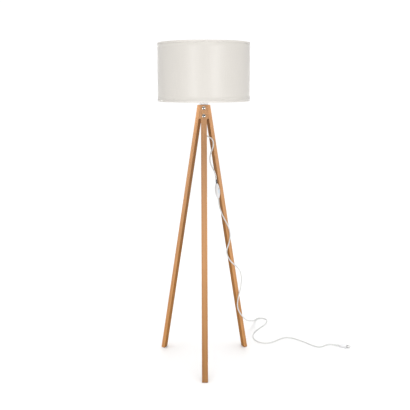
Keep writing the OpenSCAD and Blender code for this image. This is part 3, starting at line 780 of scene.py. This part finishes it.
def plug_mesh():
    """A flat two-pin plug along Z: a narrow tail, ribbed finger grips and a flat face."""
    stations = []
    steps = 60
    for i in range(steps + 1):
        share = i / steps
        z = PLUG_LENGTH * share
        swell = min(share / 0.34, 1)
        swell = swell * swell * (3 - 2 * swell)
        half_w = PLUG_TAIL_HALF_W + (PLUG_HALF_W - PLUG_TAIL_HALF_W) * swell
        half_t = PLUG_TAIL_HALF_T + (PLUG_HALF_T - PLUG_TAIL_HALF_T) * swell
        if RIBS_FROM < share < RIBS_TO:
            along = (share - RIBS_FROM) / (RIBS_TO - RIBS_FROM)
            half_w -= RIB_DEPTH * (0.5 - 0.5 * cos(along * 10 * pi))
        past_edge = max(0, PLUG_ROUNDING - (1 - share) * PLUG_LENGTH)
        edge = PLUG_ROUNDING - sqrt(max(PLUG_ROUNDING**2 - past_edge**2, 0))
        edge += max(0, PLUG_CHAMFER - z) * 0.6
        stations.append((z, half_w - edge, half_t - edge, 2.4 + 1.8 * swell))
    return lofted("plug_shell", stations, 72)


def make_plug():
    """The plug's shell and sleeve, with the CAD model's own pins."""
    along_x = PLUG_FRAME @ Matrix.Rotation(pi / 2, 4, "Y") @ Matrix.Rotation(pi / 2, 4, "Z")
    body_at = along_x @ Matrix.Translation((0, 0, PLUG_RELIEF))
    relief = tapered_relief("plug_relief", PLUG_RELIEF, 0.0046, 0.0034, 6)
    relief_at = body_at @ Matrix.Translation((0, 0, 0.0004)) @ Matrix.Rotation(pi, 4, "X")
    return [
        add_piece("plug_shell", plug_mesh(), "white_plastic",
                  ("plug_body",), place=body_at),
        add_piece("plug_sleeve", relief, "vinyl",
                  ("plug_relief",), place=relief_at),
        CAD["plug_pins"],
        CAD["plug_pin_sleeves"],
    ]


# ---------------------------------------------------------------- the shade

SHADE_LOW, SHADE_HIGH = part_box("shade_fabric")
SHADE_RADIUS = SHADE_HIGH.x
EDGE_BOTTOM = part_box("shade_trim_bottom")[0].z
EDGE_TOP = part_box("shade_trim_top")[1].z
RING_LOW, RING_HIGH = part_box("shade_ring_bottom")
WIRE_RADIUS = (RING_HIGH.z - RING_LOW.z) / 2
RING_RADIUS = RING_HIGH.x - WIRE_RADIUS
SHEET_THICKNESS = 0.0006  # of the cloth, and of the lining under it
SEAM_HALF_WIDTH = 0.007  # of the overlap where the cloth's two ends meet, at the back


def shade_angles(count=240):
    """Even steps round the shade, and closer ones over the seam at its back."""
    even = [2 * pi * k / count for k in range(count)]
    reach = (SEAM_HALF_WIDTH + 0.004) / SHADE_RADIUS
    kept = [a for a in even if abs(a - BACK) > reach + pi / count]
    seam = [BACK - reach + 2 * reach * k / 24 for k in range(25)]
    sharp = BACK - SEAM_HALF_WIDTH / SHADE_RADIUS
    return sorted(kept + seam + [sharp - 0.0004, sharp + 0.0006])


def cloth_wobble(angle, radius, height):
    """The slight unevenness of a stretched drum, and the second layer of cloth at the seam."""
    uneven = 0.00010 * sin(3 * angle + 1.1) + 0.00007 * sin(8 * angle + 0.4)
    from_seam = (angle - BACK) * SHADE_RADIUS
    doubled = 0
    if from_seam > -SEAM_HALF_WIDTH:
        doubled = max(0, min(1, (SEAM_HALF_WIDTH - from_seam) / 0.003))
    return uneven + 0.00045 * doubled


def rolled_edge(lip):
    """The outline of cloth rolled round a rim wire, from z = 0 at the rim upwards."""
    outer = SHADE_RADIUS + 0.00012
    inner = RING_RADIUS - WIRE_RADIUS - 0.00045
    band, wall = 0.0088, 0.00042
    return [
        (outer, band), (outer + wall * 0.8, band - 0.0003), (outer + wall, band - 0.0012),
        (outer + wall + 0.00010, 0.0045), (outer + wall, 0.0022), (outer + wall * 0.4, 0.0008),
        (outer - 0.0007, 0.0001), (RING_RADIUS + 0.0008, 0), (RING_RADIUS - 0.0008, 0),
        (inner + 0.0005, 0.0003), (inner, 0.0010), (inner, lip), (inner + 0.0003, lip),
        (inner + 0.0003, 0.0012), (RING_RADIUS, 0.00045), (outer - 0.0004, 0.0006),
        (outer, 0.0020),
    ]


def edge_wobble(phase):
    """The cloth's unevenness at a rim, and the small puckers of the rolled edge."""
    def wobble(angle, radius, height):
        pucker = 0.00005 * sin(41 * angle + phase) + 0.00004 * sin(67 * angle + 2 * phase)
        return cloth_wobble(angle, radius, height) * 0.8 + pucker
    return wobble


def make_shade():
    """The drum's cloth on its stiff lining, with a rolled edge round each rim."""
    low, high = SHADE_LOW.z, SHADE_HIGH.z
    inner = SHADE_RADIUS - SHEET_THICKNESS
    rows = 10
    outer_rows = [(SHADE_RADIUS, low + (high - low) * i / rows) for i in range(rows + 1)]
    inner_rows = [(inner, z) for r, z in reversed(outer_rows)]
    angles = shade_angles()
    skin = turned("shade_cloth", outer_rows + inner_rows, wobble=cloth_wobble, angles=angles)
    shade_cloth = add_piece("shade_cloth", skin, "shade_cloth", ("shade_fabric",))
    liner_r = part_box("shade_lining")[1].x
    liner_inner = liner_r - SHEET_THICKNESS
    outline = [(liner_r, low), (liner_r, high), (liner_inner, high), (liner_inner, low)]
    liner = turned("shade_liner", outline, sides=240)
    shade_liner = add_piece("shade_liner", liner, "lining", ("shade_lining",))
    for name, rim, upward, lip, phase in (
        ("bottom", EDGE_BOTTOM, 1, 0.0016, 0.7), ("top", EDGE_TOP, -1, 0.0070, 2.9),
    ):
        outline = [(r, rim + upward * z) for r, z in rolled_edge(lip)]
        if upward > 0:
            outline.reverse()
        edge = turned("edge_" + name, outline, wobble=edge_wobble(phase), angles=angles)
        add_piece(
            "shade_edge_" + name, edge, "lit_edge_cloth", ("shade_trim_" + name,),
        )


def make_spider():
    """Three bent rods from the fitter ring out and down to the shade's lower wire."""
    low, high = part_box("spider_arms")
    level = high.z - WIRE_RADIUS - 0.00015
    foot = (RING_LOW.z + RING_HIGH.z) / 2
    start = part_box("fitter_ring")[1].x - 0.0006
    bend = RING_RADIUS - (level - foot)
    easing = 0.010
    slope = sqrt(0.5)
    curve = bpy.data.curves.new("spider_rods", "CURVE")
    curve.dimensions = "3D"
    curve.bevel_depth = WIRE_RADIUS
    curve.bevel_resolution = 5
    curve.use_fill_caps = True
    for turn in (BACK, radians(210), radians(330)):
        outward = Vector((cos(turn), sin(turn), 0))
        knots = [
            (start, level, 1, 0, 0.004), (bend - easing, level, 1, 0, 0.006),
            (bend + easing * slope, level - easing * slope, slope, -slope, 0.006),
            (RING_RADIUS, foot, slope, -slope, 0.004),
        ]
        spline = curve.splines.new("BEZIER")
        spline.bezier_points.add(len(knots) - 1)
        for point, (r, z, out, up, reach) in zip(spline.bezier_points, knots):
            at = outward * r + Vector((0, 0, z))
            handle = (outward * out + Vector((0, 0, up))) * reach
            point.handle_left_type = point.handle_right_type = "FREE"
            point.co, point.handle_left, point.handle_right = at, at - handle, at + handle
    add_piece("spider_rods", curve, "white_wire", ("spider_arms",))


# ---------------------------------------------------------------- the bolts

BOLT_DROPS = (0.013, 0.048)  # below the stand's top, where the bolts cross the legs' outer faces
BOLT_HEAD_R, BOLT_HEAD_H = 0.008, 0.0024
BOLT_LIP, BOLT_CHAMFER = 0.0006, 0.0003  # the head's straight edge, and the cut under it
BOLT_SHANK_R, BOLT_SHANK_L = 0.003, 0.003
LEG_HALF_T = 0.0095  # half a leg's thickness, measured level
HEX_R, HEX_DEPTH = 0.0029, 0.0020  # the socket, across its corners and down to its floor


def bolt_mesh():
    """A domed bolt head with a hexagonal socket, seated on z = 0, and the start of its shank."""
    sides = 96
    angles = [2 * pi * k / sides for k in range(sides)]
    rings = []

    def round_ring(radius, height):
        rings.append([(radius * cos(angle), radius * sin(angle), height) for angle in angles])

    def hex_ring(corner_r, height):
        ring = []
        for angle in angles:
            off_middle = (angle + pi / 6) % (pi / 3) - pi / 6  # of the hexagon's nearest side
            r = corner_r * cos(pi / 6) / cos(off_middle)
            ring.append((r * cos(angle), r * sin(angle), height))
        rings.append(ring)

    round_ring(BOLT_SHANK_R, -BOLT_SHANK_L)
    round_ring(BOLT_SHANK_R, 0.0)
    round_ring(BOLT_HEAD_R - BOLT_CHAMFER, 0.0)
    round_ring(BOLT_HEAD_R, BOLT_CHAMFER)
    round_ring(BOLT_HEAD_R, BOLT_LIP)
    crown = BOLT_HEAD_H - BOLT_LIP - 0.00005
    steps = 14
    for k in range(1, steps + 1):
        r = BOLT_HEAD_R - (BOLT_HEAD_R - HEX_R - 0.0006) * k / steps
        round_ring(r - 0.00012 * (k == 1), BOLT_LIP + crown * (1 - (r / BOLT_HEAD_R) ** 2) ** 0.85)
    top = rings[-1][0][2]
    hex_ring(HEX_R + 0.0003, top + 0.00003)
    hex_ring(HEX_R, top - 0.0003)
    hex_ring(HEX_R - 0.00005, top - HEX_DEPTH)
    hex_ring(HEX_R * 0.3, top - HEX_DEPTH - 0.0003)
    points = [point for ring in rings for point in ring]
    faces = tube_faces(len(rings), sides, closed=False)
    faces.append(tuple(reversed(range(sides))))
    faces.append(tuple((len(rings) - 1) * sides + k for k in range(sides)))
    mesh = new_mesh("bolt", points, faces)
    # The socket's walls and floor take the second material, which is painted shade.
    in_socket = (len(rings) - 4) * sides
    for face in mesh.polygons:
        face.material_index = 1 if face.index >= in_socket and len(face.vertices) == 4 else 0
    mesh.polygons[-1].material_index = 1
    return mesh


def make_bolts():
    """Two bolts through each leg, square to its outer face, each turned its own way."""
    one = bolt_mesh()
    made = bmesh.new()
    for turn, spins in ((FRONT, (0.26, 0.44)), (RIGHT, (0.9, 0.1)), (LEFT, (0.5, 1.2))):
        for drop, spin in zip(BOLT_DROPS, spins):
            height = STAND_TOP - drop
            r = FOOT_RADIUS - LEG_SLOPE * height + LEG_HALF_T
            seat = Matrix.Translation((r * cos(turn), r * sin(turn), height))
            outward = Matrix.Rotation(turn, 4, "Z") @ Matrix.Rotation(pi / 2 - LEAN, 4, "Y")
            placed = one.copy()
            placed.transform(seat @ outward @ Matrix.Rotation(spin, 4, "Z"))
            made.from_mesh(placed)
    mesh = as_mesh("bolts", made)
    add_piece("bolt_heads", mesh, "nickel socket_steel", ("leg_bolts",))


# ---------------------------------------------------------------- the gland

GLAND_TAPER = 0.020
GLAND_TIP_R, GLAND_BASE_R, GLAND_NUT_R, GLAND_THREAD_R = 0.0044, 0.0068, 0.0080, 0.0050


def make_gland():
    """A fluted nut on the threaded tube, over a grooved sleeve that tapers to the lead."""
    low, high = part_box("cord_gland")
    nut_bottom = low.z + GLAND_TAPER
    bore = LEAD_DIAMETER / 2 + 0.00005
    profile = [
        (bore, low.z), (GLAND_TIP_R - 0.0002, low.z), (GLAND_TIP_R, low.z + 0.0004),
    ]
    grooves = 6
    for k in range(grooves):
        z = low.z + 0.0018 + 0.0028 * k
        r = GLAND_TIP_R + (GLAND_BASE_R - GLAND_TIP_R) * (z - low.z) / GLAND_TAPER
        profile += [
            (r, z), (r - 0.0009, z + 0.0002), (r - 0.0008, z + 0.0010), (r + 0.0003, z + 0.0012),
        ]
    profile += [
        (GLAND_BASE_R, nut_bottom - 0.0012), (GLAND_NUT_R - 0.0004, nut_bottom - 0.0002),
        (GLAND_NUT_R, nut_bottom + 0.0006), (GLAND_NUT_R, high.z - 0.0008),
        (GLAND_NUT_R - 0.0005, high.z), (GLAND_THREAD_R, high.z),
        (GLAND_THREAD_R, low.z + 0.0170), (bore, low.z + 0.0168),
    ]

    def flutes(angle, radius, height):
        on_nut = radius > GLAND_NUT_R - 0.0003
        return -0.00045 * max(0, cos(18 * angle)) if on_nut else 0

    gland = turned("gland", profile, sides=144, wobble=flutes)
    add_piece("gland", gland, "white_plastic", ("cord_gland",))


# ---------------------------------------------------------------- stage and light

def make_floor():
    """The floor, 8 m square, which is scenery and not part of the lamp."""
    half = 4
    corners = [(-half, -half, 0), (half, -half, 0), (half, half, 0), (-half, half, 0)]
    mesh = new_mesh("floor", corners, [(0, 1, 2, 3)], smooth=False)
    mesh.materials.append(MATERIALS["floor"])
    floor = bpy.data.objects.new("floor", mesh)
    bpy.context.scene.collection.objects.link(floor)


def add_sun(name, azimuth, elevation, strength, softness):
    """A large soft light far away; azimuth 0 is behind the camera, positive to its right."""
    data = bpy.data.lights.new(name, "SUN")
    data.energy = strength
    data.angle = radians(softness)
    sun = bpy.data.objects.new(name, data)
    around = Matrix.Rotation(radians(azimuth), 4, "Z")
    tilt = Matrix.Rotation(radians(90 - elevation), 4, "X")
    sun.matrix_world = around @ tilt
    bpy.context.scene.collection.objects.link(sun)


def make_studio():
    """Soft lights round the lamp, and a white world that is dim to all but the camera."""
    add_sun("left_box", -25, 1.5, 0.96, 16)
    add_sun("right_box", 29, 1.5, 1.04, 16)
    add_sun("left_side", -100, 6, 0.38, 50)
    add_sun("right_side", 100, 6, 0.28, 50)
    add_sun("back_box", 180, 14, 1.10, 40)
    add_sun("left_rim", -146, 5, 0.24, 50)
    add_sun("right_rim", 146, 5, 0.24, 50)
    add_sun("overhead", 0, 84, 2.95, 56)
    world = bpy.data.worlds.new("studio")
    world.use_nodes = True
    nodes, links = world.node_tree.nodes, world.node_tree.links
    nodes.clear()
    direction = nodes.new("ShaderNodeTexCoord")
    parts = nodes.new("ShaderNodeSeparateXYZ")
    links.new(direction.outputs["Generated"], parts.inputs[0])
    dusk = nodes.new("ShaderNodeMapRange")  # the fill is strongest near the horizon
    for socket, number in zip(dusk.inputs[1:5], (0.20, 0.45, 0.34, 0.04)):
        socket.default_value = number
    links.new(parts.outputs["Z"], dusk.inputs[0])
    fill = nodes.new("ShaderNodeBackground")
    fill.inputs["Color"].default_value = (1, 1, 1, 1)
    links.new(dusk.outputs["Result"], fill.inputs["Strength"])
    white = nodes.new("ShaderNodeBackground")
    white.inputs["Color"].default_value = (1, 1, 1, 1)
    white.inputs["Strength"].default_value = 1.05
    seen = nodes.new("ShaderNodeLightPath")
    mix = nodes.new("ShaderNodeMixShader")
    out = nodes.new("ShaderNodeOutputWorld")
    links.new(seen.outputs["Is Camera Ray"], mix.inputs["Fac"])
    links.new(fill.outputs["Background"], mix.inputs[1])
    links.new(white.outputs["Background"], mix.inputs[2])
    links.new(mix.outputs["Shader"], out.inputs["Surface"])
    bpy.context.scene.world = world
    bpy.context.scene.view_settings.view_transform = "Standard"


make_camera()
lead = make_lead()
on_lead = make_switch() + make_plug()
finish_cad_nodes()
for leg in ("leg_front", "leg_right", "leg_left", "hub_block"):
    soften_edges(leg, 0.0007)
for part in ("lampholder_cap", "lampholder_sleeve", "fitter_ring", "hub_washers", "lock_nut"):
    soften_edges(part, 0.0003)
make_bolts()
make_shade()
make_spider()
make_gland()
make_floor()
make_studio()
